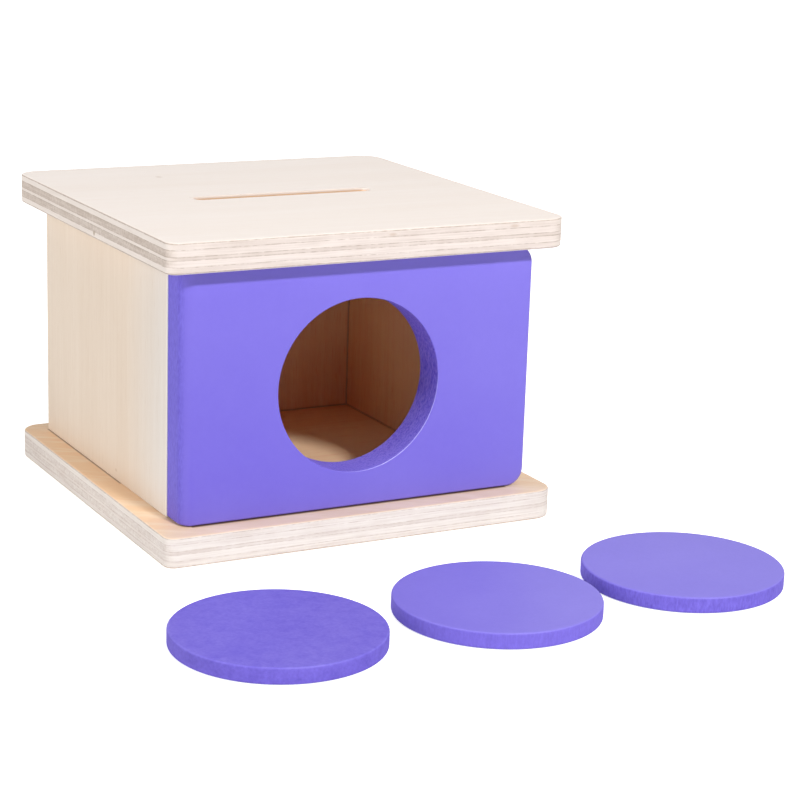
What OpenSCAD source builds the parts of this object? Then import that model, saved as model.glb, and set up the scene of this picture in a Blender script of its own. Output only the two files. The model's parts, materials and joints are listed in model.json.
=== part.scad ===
// Wooden posting box: a slotted top, a swinging front door with a finger hole, and three discs to post.
// Millimetres. The origin is the centre of the base's underside: +X right, +Y to the back, +Z up.
// The door faces -Y and swings on two upright pins near its right end.

/* [Boards] */
// Width of the base and top boards
board_w = 172; // [150:1:210]
// Depth of the base and top boards, front to back
board_d = 172; // [140:1:210]
// Thickness of the base and top boards
board_t = 12; // [10:0.5:18]
// Plan corner radius of the boards
board_corner_r = 9; // [3:0.5:14]
// Plan corner radius of the boards at their front left corner
front_left_corner_r = 4.5; // [3:0.5:14]
// Radius of the eased edges of the boards
board_ease_r = 0.8; // [0.3:0.1:1.5]

/* [Walls] */
// Height of the walls between the two boards
wall_h = 101; // [90:1:150]
// Thickness of the side and back walls
wall_t = 10.5; // [8:0.5:14]
// How far the boards reach past the side walls, on each side
side_overhang = 10; // [4:0.25:16]
// How far the boards reach past the back wall
rear_overhang = 10; // [2:0.5:16]
// How far the boards reach past the door's face
front_overhang = 10; // [3:0.5:16]

/* [Door] */
// Thickness of the door
door_t = 15; // [12:0.5:20]
// Clearance above and below the door
door_gap = 0.5; // [0.3:0.1:2]
// Clearance between the door's back and the front edges of the walls
door_back_gap = 0.5; // [0.3:0.1:1.5]
// Corner radius at the door's free end, seen from the front
free_corner_r = 1; // [0.5:0.5:8]
// Corner radius at the door's pivot end, seen from the front
pivot_corner_r = 7; // [2:0.5:10]
// Radius of the rounded front edge at the door's free end
free_edge_r = 5.5; // [1:0.5:7]
// Radius of the rounded front edge at the door's pivot end
pivot_edge_r = 2; // [1:0.5:5]
// Radius of the eased top and bottom edges of the door
door_ease_r = 1; // [0.3:0.1:1.5]
// Diameter of the finger hole
hole_d = 70; // [40:1:80]
// Radius of the eased rims of the finger hole
hole_ease_r = 0.4; // [0.2:0.1:1.5]
// Sideways place of the finger hole, from the middle of the door
hole_aside = -1.3; // [-10:0.1:10]
// Height of the finger hole's centre over the middle of the door
hole_raise = -0.9; // [-5:0.1:5]

/* [Pivot pins] */
// Diameter of the steel pivot pins
pin_d = 4; // [3:0.5:6]
// Depth to which each pin is set in its board
pin_board_depth = 8; // [5:0.5:9]
// Length of each pin inside the door
pin_door_depth = 14; // [8:1:20]
// Radial running clearance of the pins in the door
pin_clear = 0.06; // [0.02:0.01:0.1]
// Free space past the end of the upper pin
pin_end_clear = 0.5; // [0.2:0.1:1]
// Chamfer on the ends of the pins
pin_chamfer = 0.4; // [0.2:0.1:0.8]

/* [Dowels] */
// Diameter of the wooden dowels that join the walls to the boards
dowel_d = 6; // [4:0.5:7]
// Depth of the dowel holes in the boards
dowel_board_depth = 8; // [5:0.5:9]
// Depth of the dowel holes in the edges of the walls
dowel_wall_depth = 16; // [10:1:24]
// Distance from each end of a wall to its dowels
dowel_inset = 28; // [15:1:40]
// Glue space around and past the ends of the dowels
dowel_glue_gap = 0.1; // [0.05:0.05:0.2]
// Chamfer on the ends of the dowels
dowel_chamfer = 0.8; // [0.4:0.1:1.2]

/* [Discs] */
// Diameter of the discs
disc_d = 77; // [60:0.5:100]
// Thickness of the discs
disc_t = 6.2; // [4:0.1:9]
// Radius of the eased rims of the discs
disc_ease_r = 0.9; // [0.3:0.1:1.5]
// Clearance of a disc at each end of the slot
slot_end_clear = 1.5; // [1:0.25:4]
// Clearance of a disc at each side of the slot
slot_side_clear = 0.5; // [0.4:0.1:3]
// Sideways place of the middle disc, from the centre of the box
disc_middle_x = 6.6; // [-40:0.1:40]
// Sideways gap between the left and middle discs
disc_left_gap = 9.1; // [2:0.1:30]
// Sideways gap between the middle and right discs
disc_right_gap = 6.5; // [2:0.1:30]
// Distance from the base's front edge to the left disc's rim
disc_left_ahead = 46.4; // [10:0.1:120]
// Distance from the base's front edge to the middle disc's rim
disc_middle_ahead = 49.1; // [10:0.1:120]
// Distance from the base's front edge to the right disc's rim
disc_right_ahead = 45.9; // [10:0.1:120]

/* [Hidden] */
$fn = 96;
wood_colour = [0.94, 0.88, 0.80];
paint_colour = [0.53, 0.47, 0.93];
steel_colour = [0.74, 0.75, 0.77];
dowel_colour = [0.86, 0.72, 0.54];

// How far a cutting tool runs past the face that it cuts
cut_past = 2;

board_corners = [board_corner_r, board_corner_r, front_left_corner_r, board_corner_r];

case_w = board_w - 2 * side_overhang;
top_z = board_t + wall_h;
base_front = -board_d / 2;

door_front = base_front + front_overhang;
door_back = door_front + door_t;
door_w = case_w;
door_h = wall_h - 2 * door_gap;
door_z = board_t + door_gap;
door_back_ease_r = door_ease_r / 2;
hole_z = door_z + door_h / 2 + hole_raise;

wall_front = door_back + door_back_gap;
wall_rear = board_d / 2 - rear_overhang;
wall_len = wall_rear - wall_front;
back_wall_w = case_w - 2 * wall_t;
side_wall_x = (case_w - wall_t) / 2;
back_wall_y = wall_rear - wall_t / 2;

// The pins stand half the door's thickness from its end and nearer its face than its back,
// so that both corners of the end turn clear of the wall
pin_face_share = 0.4;
pivot_x = case_w / 2 - door_t / 2;
pivot_y = door_front + pin_face_share * door_t;
door_bore_d = pin_d + 2 * pin_clear;
pin_l = pin_board_depth + door_gap + pin_door_depth;

slot_l = disc_d + 2 * slot_end_clear;
slot_w = disc_t + 2 * slot_side_clear;

dowel_hole_d = dowel_d + 2 * dowel_glue_gap;
dowel_l = dowel_board_depth + dowel_wall_depth - 2 * dowel_glue_gap;
side_dowel_ys = [wall_front + dowel_inset, wall_rear - dowel_inset];
back_dowel_xs = [-back_wall_w / 2 + dowel_inset, back_wall_w / 2 - dowel_inset];
left_dowel_places = [for (y = side_dowel_ys) [-side_wall_x, y]];
right_dowel_places = [for (y = side_dowel_ys) [side_wall_x, y]];
back_dowel_places = [for (x = back_dowel_xs) [x, back_wall_y]];
all_dowel_places = concat(left_dowel_places, right_dowel_places, back_dowel_places);

disc_step_left = disc_d + disc_left_gap;
disc_step_right = disc_d + disc_right_gap;

// A rectangle from 0,0 to size with a round of its own at each corner:
// radii holds the near-left, near-right, far-right and far-left corners
module rounded_rectangle(size, radii) {
    w = size[0];
    h = size[1];
    a = radii[0];
    b = radii[1];
    c = radii[2];
    d = radii[3];
    polygon([
        [a, 0], [w - b, 0], [w, b], [w, h - c],
        [w - c, h], [d, h], [0, h - d], [0, a]
    ]);
    translate([a, a]) circle(r = a);
    translate([w - b, b]) circle(r = b);
    translate([w - c, h - c]) circle(r = c);
    translate([d, h - d]) circle(r = d);
}

// The section of a plate's rim: reach across, thickness up, both outer corners eased
module rim_section(reach, thickness, ease) {
    square([reach - ease, thickness]);
    translate([0, ease]) square([reach, thickness - 2 * ease]);
    translate([reach - ease, ease]) circle(r = ease);
    translate([reach - ease, thickness - ease]) circle(r = ease);
}

// A flat board, centred in plan, with eased edges all round, made by quarters:
// corners holds the radii at the back right, back left, front left and front right
module eased_board(w, d, t, corners, ease) {
    for (turn = [0, 1, 2, 3]) {
        corner = corners[turn];
        out = (turn % 2 == 0 ? w : d) / 2 - corner;
        along = (turn % 2 == 0 ? d : w) / 2 - corner;
        rotate([0, 0, 90 * turn]) {
            cube([out, along, t]);
            translate([out, along, 0])
                rotate([90, 0, 0]) linear_extrude(along) rim_section(corner, t, ease);
            translate([0, along, 0])
                rotate([90, 0, 90]) linear_extrude(out) rim_section(corner, t, ease);
            translate([out, along, 0])
                rotate_extrude(angle = 90) rim_section(corner, t, ease);
        }
    }
}

// Blind holes for the dowels of every wall, opening at height z, bored up or down to the given depth
module dowel_holes(places, z, depth, up) {
    for (place = places)
        translate([place[0], place[1], up ? z - cut_past : z - depth])
            cylinder(d = dowel_hole_d, h = depth + cut_past);
}

// A round rod standing on z = 0 with both ends chamfered
module chamfered_rod(d, l, chamfer) {
    rotate_extrude()
        polygon([
            [0, 0], [d / 2 - chamfer, 0], [d / 2, chamfer],
            [d / 2, l - chamfer], [d / 2 - chamfer, l], [0, l]
        ]);
}

// The two dowels in each end of a wall
module wall_dowels(places) {
    color(dowel_colour)
        for (place = places, joint_z = [board_t - dowel_board_depth, top_z - dowel_wall_depth])
            translate([place[0], place[1], joint_z + dowel_glue_gap])
                chamfered_rod(dowel_d, dowel_l, dowel_chamfer);
}

// A wall standing on the base, bored in both ends for its dowels
module wall(size, centre, places) {
    color(wood_colour)
        difference() {
            translate([centre[0] - size[0] / 2, centre[1] - size[1] / 2, board_t])
                cube([size[0], size[1], wall_h]);
            dowel_holes(places, board_t, dowel_wall_depth, true);
            dowel_holes(places, top_z, dowel_wall_depth, false);
        }
}

module base_board() {
    color(wood_colour)
        difference() {
            eased_board(board_w, board_d, board_t, board_corners, board_ease_r);
            dowel_holes(all_dowel_places, board_t, dowel_board_depth, false);
            translate([pivot_x, pivot_y, board_t - pin_board_depth])
                cylinder(d = pin_d, h = pin_board_depth + cut_past);
        }
}

module top_board() {
    color(wood_colour)
        difference() {
            translate([0, 0, top_z])
                eased_board(board_w, board_d, board_t, board_corners, board_ease_r);
            translate([-slot_l / 2, -slot_w / 2, top_z - cut_past])
                linear_extrude(board_t + 2 * cut_past)
                    rounded_rectangle([slot_l, slot_w], [for (i = [0:3]) slot_w / 2]);
            dowel_holes(all_dowel_places, top_z, dowel_board_depth, true);
            translate([pivot_x, pivot_y, top_z - cut_past])
                cylinder(d = pin_d, h = pin_board_depth + cut_past);
        }
}

module left_wall() {
    wall([wall_t, wall_len], [-side_wall_x, (wall_front + wall_rear) / 2], left_dowel_places);
}

module right_wall() {
    wall([wall_t, wall_len], [side_wall_x, (wall_front + wall_rear) / 2], right_dowel_places);
}

module back_wall() {
    wall([back_wall_w, wall_t], [0, back_wall_y], back_dowel_places);
}

// The finger hole, cut along +Y from 0 to the door's thickness, with both rims eased
module finger_hole() {
    hole_r = hole_d / 2;
    rotate([-90, 0, 0])
        rotate_extrude() {
            translate([0, -cut_past]) square([hole_r, door_t + 2 * cut_past]);
            difference() {
                translate([0, -cut_past]) square([hole_r + hole_ease_r, cut_past + hole_ease_r]);
                translate([hole_r + hole_ease_r, hole_ease_r]) circle(r = hole_ease_r);
            }
            difference() {
                translate([0, door_t - hole_ease_r])
                    square([hole_r + hole_ease_r, cut_past + hole_ease_r]);
                translate([hole_r + hole_ease_r, door_t - hole_ease_r]) circle(r = hole_ease_r);
            }
        }
}

module front_door() {
    plan_radii = [free_edge_r, pivot_edge_r, door_t / 2, door_back_ease_r];
    face_radii = [free_corner_r, pivot_corner_r, pivot_corner_r, free_corner_r];
    side_radii = [door_ease_r, door_back_ease_r, door_back_ease_r, door_ease_r];
    color(paint_colour)
        difference() {
            translate([-door_w / 2, door_front, door_z])
                intersection() {
                    linear_extrude(door_h) rounded_rectangle([door_w, door_t], plan_radii);
                    translate([0, door_t, 0]) rotate([90, 0, 0])
                        linear_extrude(door_t) rounded_rectangle([door_w, door_h], face_radii);
                    rotate([90, 0, 90])
                        linear_extrude(door_w) rounded_rectangle([door_t, door_h], side_radii);
                }
            translate([hole_aside, door_front, hole_z]) finger_hole();
            translate([pivot_x, pivot_y, door_z - cut_past])
                cylinder(d = door_bore_d, h = pin_door_depth + cut_past);
            translate([pivot_x, pivot_y, door_z + door_h - pin_door_depth - pin_end_clear])
                cylinder(d = door_bore_d, h = pin_door_depth + pin_end_clear + cut_past);
        }
}

// The door's weight rests on the end of the lower pin
module lower_pivot_pin() {
    color(steel_colour)
        translate([pivot_x, pivot_y, board_t - pin_board_depth])
            chamfered_rod(pin_d, pin_l, pin_chamfer);
}

module upper_pivot_pin() {
    color(steel_colour)
        translate([pivot_x, pivot_y, top_z + pin_board_depth - pin_l])
            chamfered_rod(pin_d, pin_l, pin_chamfer);
}

module left_wall_dowels() {
    wall_dowels(left_dowel_places);
}

module right_wall_dowels() {
    wall_dowels(right_dowel_places);
}

module back_wall_dowels() {
    wall_dowels(back_dowel_places);
}

// A disc lying flat in front of the box, its nearest rim the given distance ahead of the base
module disc(x, ahead) {
    color(paint_colour)
        translate([x, base_front - ahead - disc_d / 2, 0])
            rotate_extrude() rim_section(disc_d / 2, disc_t, disc_ease_r);
}

module disc_left() {
    disc(disc_middle_x - disc_step_left, disc_left_ahead);
}

module disc_middle() {
    disc(disc_middle_x, disc_middle_ahead);
}

module disc_right() {
    disc(disc_middle_x + disc_step_right, disc_right_ahead);
}

base_board();
top_board();
left_wall();
right_wall();
back_wall();
front_door();
lower_pivot_pin();
upper_pivot_pin();
left_wall_dowels();
right_wall_dowels();
back_wall_dowels();
disc_left();
disc_middle();
disc_right();
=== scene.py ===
"""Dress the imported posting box: plywood case, painted door with a finger hole, painted discs."""
import json
import math

import bmesh
import bpy
from mathutils import Matrix, Vector

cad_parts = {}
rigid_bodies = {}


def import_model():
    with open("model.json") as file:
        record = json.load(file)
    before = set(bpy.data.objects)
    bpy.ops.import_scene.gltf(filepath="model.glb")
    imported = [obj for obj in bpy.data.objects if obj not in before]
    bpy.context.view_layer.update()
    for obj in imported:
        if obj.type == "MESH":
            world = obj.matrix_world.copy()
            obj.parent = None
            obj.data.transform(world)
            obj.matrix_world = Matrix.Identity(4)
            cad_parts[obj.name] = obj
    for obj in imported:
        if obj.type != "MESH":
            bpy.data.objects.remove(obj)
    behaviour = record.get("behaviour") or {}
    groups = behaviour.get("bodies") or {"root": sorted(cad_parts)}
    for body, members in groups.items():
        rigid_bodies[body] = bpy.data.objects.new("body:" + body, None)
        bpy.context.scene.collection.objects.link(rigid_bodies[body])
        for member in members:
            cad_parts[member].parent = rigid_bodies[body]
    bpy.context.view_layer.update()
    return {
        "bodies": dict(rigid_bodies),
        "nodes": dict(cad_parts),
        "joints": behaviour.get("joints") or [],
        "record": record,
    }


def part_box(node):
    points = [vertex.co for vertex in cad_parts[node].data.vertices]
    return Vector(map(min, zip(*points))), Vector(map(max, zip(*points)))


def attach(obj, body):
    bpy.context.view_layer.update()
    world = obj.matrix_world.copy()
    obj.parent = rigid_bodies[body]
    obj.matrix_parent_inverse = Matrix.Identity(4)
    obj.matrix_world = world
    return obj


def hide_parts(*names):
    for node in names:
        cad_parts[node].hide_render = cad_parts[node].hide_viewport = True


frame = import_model()

MM = 0.001
UP = Vector((0.0, 0.0, 1.0))
UPRIGHT = Matrix.Rotation(math.radians(90.0), 4, "X")

# Camera, fitted to the straight edges of the photo
CAMERA_AZIMUTH = math.radians(-28.5236)
CAMERA_ELEVATION = math.radians(14.8470)
CAMERA_ROLL = math.radians(1.8760)
CAMERA_DISTANCE = 0.845389
CAMERA_TARGET = Vector((0.002133, -0.103100, 0.062196))
CAMERA_LENS = 99.7134
CAMERA_SENSOR = 36.0
CAMERA_NEAR = 0.01
CAMERA_FAR = 100.0

# Sizes of the boards and walls that their boxes don't give
BOARD_CORNER = 9.0 * MM
FRONT_LEFT_CORNER = 4.5 * MM
BOARD_EASE = 0.8 * MM
WALL_EASE = 0.4 * MM
SLOT_LENGTH = 80.0 * MM
SLOT_WIDTH = 7.2 * MM
SLOT_EASE = 0.4 * MM
SLOT_PALE = 1.0 * MM
DOWEL_RADIUS = 3.0 * MM
DOWEL_HOLE_RADIUS = 3.1 * MM
DOWEL_END_GAP = 0.1 * MM
WALL_HOLE_DEPTH = 16.0 * MM
PIN_HOLE_RADIUS = 2.02 * MM
PIN_BORE_RADIUS = 2.06 * MM
PIN_END_ROOM = 0.5 * MM

# Sizes of the door and discs
FREE_CORNER = 1.0 * MM
PIVOT_CORNER = 7.0 * MM
FREE_EDGE = 5.5 * MM
PIVOT_EDGE = 2.0 * MM
DOOR_EASE = 1.0 * MM
DOOR_BACK_EASE = 0.5 * MM
HOLE_RADIUS = 35.0 * MM
HOLE_EASE = 0.4 * MM
HOLE_ASIDE = -1.3 * MM
HOLE_RAISE = -0.9 * MM
DISC_EASE = 0.9 * MM

# Width of the flat bands that keep the rounds from shading the faces, and what counts as a sharp edge
HOLDING = 2.5 * MM
SHARP_ANGLE = math.radians(40.0)
FLAT_WEIGHT = 70

# Steps of the rounds, and turns in degrees of those that are carried
BOARD_CORNER_STEPS = 10
FRONT_LEFT_STEPS = 8
BOARD_EASE_STEPS = 4
SMALL_EASE_STEPS = 3
SLOT_END_STEPS = 10
FREE_CORNER_STEPS = 4
PIVOT_CORNER_STEPS = 12
BORE_STEPS = 32
HOLE_STEPS = 128
DISC_STEPS = 160
ROUND_TURNS = (90, 78, 66, 54, 42, 28, 14, 0)

# Cuts in the long sides of the door's outline, how far cutters reach past a face, and tolerances
LONG_SIDE = 20.0 * MM
LONG_SIDE_CUTS = 23
PAST = 1.0 * MM
MERGE = 1e-6
PARALLEL = 0.999
SLOT_END_SHARE = 0.4995


def add_node(tree, kind, values=None, **settings):
    """Add a node, with its own settings, and feed its inputs from sockets or plain values."""
    made = tree.nodes.new(kind)
    for key, value in settings.items():
        setattr(made, key, value)
    for key, value in (values or {}).items():
        feed(tree, made.inputs[key], value)
    return made


def feed(tree, socket, value):
    """Link a socket to an input, or set the input's plain value."""
    if isinstance(value, bpy.types.NodeSocket):
        tree.links.new(value, socket)
    else:
        socket.default_value = value


def maths(tree, operation, *terms):
    """One Math node over plain values and sockets."""
    made = tree.nodes.new("ShaderNodeMath")
    made.operation = operation
    for index, term in enumerate(terms):
        feed(tree, made.inputs[index], term)
    return made.outputs[0]


def vectors(tree, operation, *terms):
    """One Vector Math node over plain vectors and sockets."""
    made = tree.nodes.new("ShaderNodeVectorMath")
    made.operation = operation
    for index, term in enumerate(terms):
        feed(tree, made.inputs[index], term)
    return made.outputs["Value" if operation in ("LENGTH", "DOT_PRODUCT") else "Vector"]


def spread(tree, value, amount):
    """A noise value moved to swing around nought by the given amount."""
    centred = maths(tree, "SUBTRACT", value, 0.5)
    return maths(tree, "MULTIPLY", centred, amount)


def total(tree, *terms):
    """The sum of several values."""
    running = terms[0]
    for term in terms[1:]:
        running = maths(tree, "ADD", running, term)
    return running


def rest_of(tree, share):
    """What a share leaves of one."""
    return maths(tree, "SUBTRACT", 1.0, share)


def ramp_value(tree, value, start, end):
    """A value that goes from nought at start to one at end, held between them."""
    made = add_node(tree, "ShaderNodeMapRange", {"Value": value, "From Min": start, "From Max": end})
    made.clamp = True
    return made.outputs["Result"]


def noise(tree, place, stretch, detail=2.0, rough=0.5):
    """Noise over a place that is stretched by its own rate along each axis, per metre."""
    stretched = vectors(tree, "MULTIPLY", place, stretch)
    values = {"Vector": stretched, "Scale": 1.0, "Detail": detail, "Roughness": rough}
    return add_node(tree, "ShaderNodeTexNoise", values)


def blend(tree, factor, first, second):
    """Mix two colours by a factor."""
    made = add_node(tree, "ShaderNodeMix", data_type="RGBA", clamp_factor=True)
    feed(tree, made.inputs[0], factor)
    feed(tree, made.inputs[6], first)
    feed(tree, made.inputs[7], second)
    return made.outputs[2]


def steps(tree, value, stops, kind="CONSTANT"):
    """A ramp of grey tones over a value, from pairs of position and tone."""
    made = add_node(tree, "ShaderNodeValToRGB", {"Fac": value})
    ramp = made.color_ramp
    ramp.interpolation = kind
    while len(ramp.elements) < len(stops):
        ramp.elements.new(0.5)
    for element, (position, tone) in zip(ramp.elements, stops):
        element.position = position
        element.color = (tone, tone, tone, 1.0)
    return made.outputs["Color"]


def new_group(name, inputs, outputs):
    """An empty shader node group with named sockets, and its two end nodes."""
    tree = bpy.data.node_groups.new(name, "ShaderNodeTree")
    for label, kind in inputs.items():
        tree.interface.new_socket(label, in_out="INPUT", socket_type="NodeSocket" + kind)
    for label, kind in outputs.items():
        tree.interface.new_socket(label, in_out="OUTPUT", socket_type="NodeSocket" + kind)
    start = tree.nodes.new("NodeGroupInput")
    end = tree.nodes.new("NodeGroupOutput")
    return tree, start.outputs, end.inputs


def place_group(tree, group, values):
    """Put a node group into a material with its own values."""
    made = tree.nodes.new("ShaderNodeGroup")
    made.node_tree = group
    for key, value in values.items():
        feed(tree, made.inputs[key], value)
    return made.outputs


# Wood grain: how often each kind of line comes, per metre along the grain and across it
BEND_RATES = (4.0, 9.0, 9.0)
BEND_REACH = (0.0, 12.0 * MM, 12.0 * MM)
FIGURE_RATES = (5.0, 48.0, 48.0)
STREAK_RATES = (16.0, 430.0, 430.0)
FIBRE_RATES = (150.0, 3400.0, 3400.0)
PORE_RATES = (120.0, 1800.0, 1800.0)
PORE_RANGE = (0.63, 0.74)


def build_grain():
    """Wood grain that runs along the first axis of its place."""
    inputs = {"Place": "Vector"}
    outputs = {"Figure": "Float", "Streaks": "Float", "Fibres": "Float", "Pores": "Float"}
    tree, start, end = new_group("Wood grain", inputs, outputs)
    bend = noise(tree, start["Place"], BEND_RATES, detail=1.0).outputs["Color"]
    drift = vectors(tree, "SUBTRACT", bend, (0.5, 0.5, 0.5))
    drift = vectors(tree, "MULTIPLY", drift, BEND_REACH)
    bent = vectors(tree, "ADD", start["Place"], drift)
    figure = noise(tree, bent, FIGURE_RATES, detail=2.0).outputs["Fac"]
    streaks = noise(tree, bent, STREAK_RATES, detail=3.0, rough=0.55).outputs["Fac"]
    fibres = noise(tree, bent, FIBRE_RATES, detail=2.0).outputs["Fac"]
    flecks = noise(tree, bent, PORE_RATES, detail=1.0).outputs["Fac"]
    tree.links.new(figure, end["Figure"])
    tree.links.new(streaks, end["Streaks"])
    tree.links.new(fibres, end["Fibres"])
    tree.links.new(ramp_value(tree, flecks, *PORE_RANGE), end["Pores"])
    return tree


# Layers of a board: glue lines as shares of its thickness from its lower face, and each layer's tone
GLUE_LINES = (0.05, 0.225, 0.44, 0.55, 0.77, 0.955)
GLUE_HALF = 0.018
PLY_TONES = (0.60, 0.82, 0.90, 0.70, 0.86, 0.84, 0.72)


def build_plies():
    """Layers of a plywood edge: tone, glue lines and which layers have their grain across."""
    inputs = {"Depth": "Float"}
    outputs = {"Tone": "Float", "Glue": "Float", "Cross": "Float"}
    tree, start, end = new_group("Ply layers", inputs, outputs)
    starts = (0.0,) + GLUE_LINES
    tone = steps(tree, start["Depth"], list(zip(starts, PLY_TONES)))
    cross = steps(tree, start["Depth"], [(low, float(index % 2)) for index, low in enumerate(starts)])
    lines = []
    for line in GLUE_LINES:
        lines += [(line - GLUE_HALF, 0.0), (line, 1.0), (line + GLUE_HALF, 0.0)]
    glue = steps(tree, start["Depth"], lines, kind="LINEAR")
    tree.links.new(tone, end["Tone"])
    tree.links.new(glue, end["Glue"])
    tree.links.new(cross, end["Cross"])
    return tree


def build_inside():
    """Masks of the space within the case and slot, which takes painted warm shade, of the painted shade in
    its nook and along its corner joints, and of the slot's lip.
    """
    outputs = {"Mask": "Float", "Nook Shade": "Float", "Joint Shade": "Float", "Lip": "Float"}
    tree, start, end = new_group("Inside the case", {"Place": "Vector"}, outputs)
    parts = add_node(tree, "ShaderNodeSeparateXYZ", {"Vector": start["Place"]}).outputs
    masks = []
    for low, high in ((INSIDE_LOW, INSIDE_HIGH), (SLOT_LOW, SLOT_HIGH), (LIP_LOW, LIP_HIGH)):
        mask = 1.0
        for axis in range(3):
            above = maths(tree, "GREATER_THAN", parts[axis], low[axis] - INSIDE_SKIN)
            below = maths(tree, "LESS_THAN", parts[axis], high[axis] + INSIDE_SKIN)
            mask = maths(tree, "MULTIPLY", mask, maths(tree, "MULTIPLY", above, below))
        masks.append(mask)
    tree.links.new(maths(tree, "MAXIMUM", masks[0], masks[1]), end["Mask"])
    tree.links.new(masks[2], end["Lip"])
    mirrored = vectors(tree, "ABSOLUTE", start["Place"])
    corner = vectors(tree, "SUBTRACT", mirrored, (INSIDE_HIGH[0], INSIDE_HIGH[1], INSIDE_LOW[2]))
    joints = 0.0
    for planes in ((0.0, 1.0, 1.0), (1.0, 0.0, 1.0), (1.0, 1.0, 0.0)):
        near = vectors(tree, "LENGTH", vectors(tree, "MULTIPLY", corner, planes))
        joints = maths(tree, "MAXIMUM", joints, ramp_value(tree, near, JOINT_SHADE_REACH, JOINT_SHADE_CORE))
        if planes[0] == 0.0:
            tree.links.new(ramp_value(tree, near, NOOK_SHADE_REACH, 0.0), end["Nook Shade"])
    tree.links.new(joints, end["Joint Shade"])
    return tree


# Veneer and edges of plywood: middle tones, shares of each kind of line, and rates per metre
FACE_LEAN = 0.88
EDGE_LEAN = 0.55
FACE_TONE = 0.58
FACE_SHARES = {"Figure": 0.8, "Streaks": 0.7, "Fibres": 0.45}
PORE_DROP = 0.35
WAVE_RATES = (22.0, 22.0, 4.0)
WAVE_SHARE = 0.035
THREAD_RATES = (45.0, 45.0, 1500.0)
THREAD_SHARE = 0.85
PRICK_RATES = (1100.0, 1100.0, 900.0)
PRICK_SHARE = 0.9
BLOTCH_RATES = (130.0, 130.0, 260.0)
BLOTCH_SHARE = 0.26
BREAK_RATES = (420.0, 420.0, 160.0)
BREAK_RANGE = (0.30, 0.62)
SIDE_END_SHARE = 0.12
LONG_GRAIN_TONE = (0.97, 0.89, 0.83, 1.0)
FIBRE_HEIGHT = 0.7
STREAK_HEIGHT = 0.5
PORE_DEPTH = 0.5
GLUE_DEPTH = 0.5
END_GRAIN_DEPTH = 0.4
WOOD_ROUGH = 0.52
WOOD_ROUGH_SHARE = 0.16
EDGE_ROUGH = 0.08


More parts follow.
